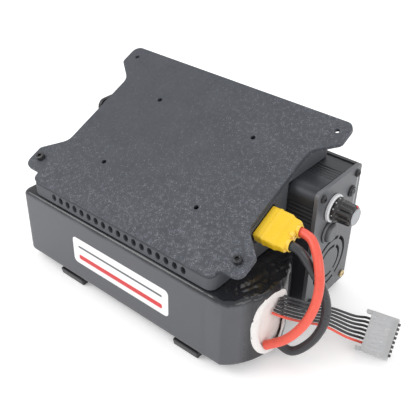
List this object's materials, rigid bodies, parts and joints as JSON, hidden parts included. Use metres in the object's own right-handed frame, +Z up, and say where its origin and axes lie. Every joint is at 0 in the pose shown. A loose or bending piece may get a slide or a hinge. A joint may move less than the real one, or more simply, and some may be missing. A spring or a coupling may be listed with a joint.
{
  "type": "battery discharge controller",
  "caption": "Battery pack with a finned electronic load box behind it, a sloped printed mounting housing on top, a turning dial, a push button, a cooling fan and loose leads.",
  "frame": {"origin": "centre of the bottom of the rigid assembly's bounding box, on the ground between the rails; the free leads are left out of that box", "axes": "+X along the battery pack towards the nose that its leads come out of and the control panel, +Y from the pack to the load box behind it, +Z up"},
  "size_m": [0.2435, 0.119, 0.1181],
  "materials": {
    "rail_plastic": "fine moulded black",
    "cell_foil": "soft laminated foil",
    "insulator": "pale insulating card",
    "film": "glossy heat-shrunk film, matte on its side",
    "anodised": "black anodised extrusion",
    "panel_metal": "dark grey satin",
    "rear_metal": "black satin",
    "brass": "plated screw",
    "black_steel": "black oxide",
    "steel": "bright",
    "silver": "turned and bright",
    "black_plastic": "moulded",
    "white_plastic": "smooth",
    "knob_plastic": "moulded grip",
    "fan_plastic": "moulded",
    "lamp_glass": "clear lens",
    "board_green": "solder mask",
    "aluminium": "bare extrusion",
    "capacitor_sleeve": "shrink sleeve",
    "terminal_green": "moulded",
    "printed": "3-D printed, rough textured top and layered walls",
    "plug_yellow": "moulded nylon",
    "red_silicone": "silicone jacket",
    "black_silicone": "silicone jacket",
    "rubber": "jacket",
    "clear_nylon": "translucent",
    "contact_metal": "dark plated"
  },
  "bodies": {
    "body": {"rail_left": "rail_plastic", "rail_right": "rail_plastic", "cell_1": "cell_foil", "cell_2": "cell_foil", "cell_3": "cell_foil", "cell_4": "cell_foil", "cell_5": "cell_foil", "cell_6": "cell_foil", "end_insulator": "insulator", "battery_wrap": "film", "case_shell": "anodised", "front_panel": "panel_metal", "button_bezel": "panel_metal", "rear_panel": "rear_metal", "front_screw_3": "brass", "front_screw_1": "black_steel", "front_screw_2": "black_steel", "front_screw_4": "black_steel", "rear_screw_1": "black_steel", "rear_screw_2": "black_steel", "rear_screw_3": "black_steel", "rear_screw_4": "black_steel", "ear_screw_1": "black_steel", "ear_screw_2": "black_steel", "pot_nut": "steel", "pot_body": "black_plastic", "button_switch": "black_plastic", "lamp_bezel": "black_plastic", "fan_frame": "black_plastic", "power_socket": "black_plastic", "power_transistor_1": "black_plastic", "power_transistor_2": "black_plastic", "power_transistor_3": "black_plastic", "scale_ring": "white_plastic", "lamp": "lamp_glass", "control_board": "board_green", "heat_sink": "aluminium", "capacitor_1": "capacitor_sleeve", "capacitor_2": "capacitor_sleeve", "terminal_block": "terminal_green", "printed_housing": "printed", "sloped_plate": "printed", "power_plug": "plug_yellow", "lead_red": "red_silicone", "balance_wire_1": "red_silicone", "lead_black": "black_silicone", "balance_wire_2": "black_silicone", "balance_wire_3": "black_silicone", "balance_wire_4": "black_silicone", "balance_wire_5": "black_silicone", "balance_wire_6": "black_silicone", "balance_wire_7": "black_silicone", "feed_cable": "rubber", "balance_connector": "clear_nylon", "contact_comb": "contact_metal"},
    "dial": {"knob": "knob_plastic", "knob_cap": "silver", "pot_shaft": "steel"},
    "button": {"button_cap": "panel_metal"},
    "fan": {"fan_rotor": "fan_plastic"}
  },
  "joints": [
    {"name": "dial_turn", "type": "hinge", "parent": "body", "child": "dial", "pos_m": [0.0872, 0.029, 0.0763], "axis": [1, 0, 0], "range_deg": [-150, 150]},
    {"name": "button_press", "type": "slide", "parent": "body", "child": "button", "axis": [-1, 0, 0], "range_m": [0, 0.002], "stiffness_N_per_m": 600},
    {"name": "fan_spin", "type": "hinge", "parent": "body", "child": "fan", "pos_m": [0.0717, 0.0352, 0.0316], "axis": [1, 0, 0], "continuous": true}
  ]
}
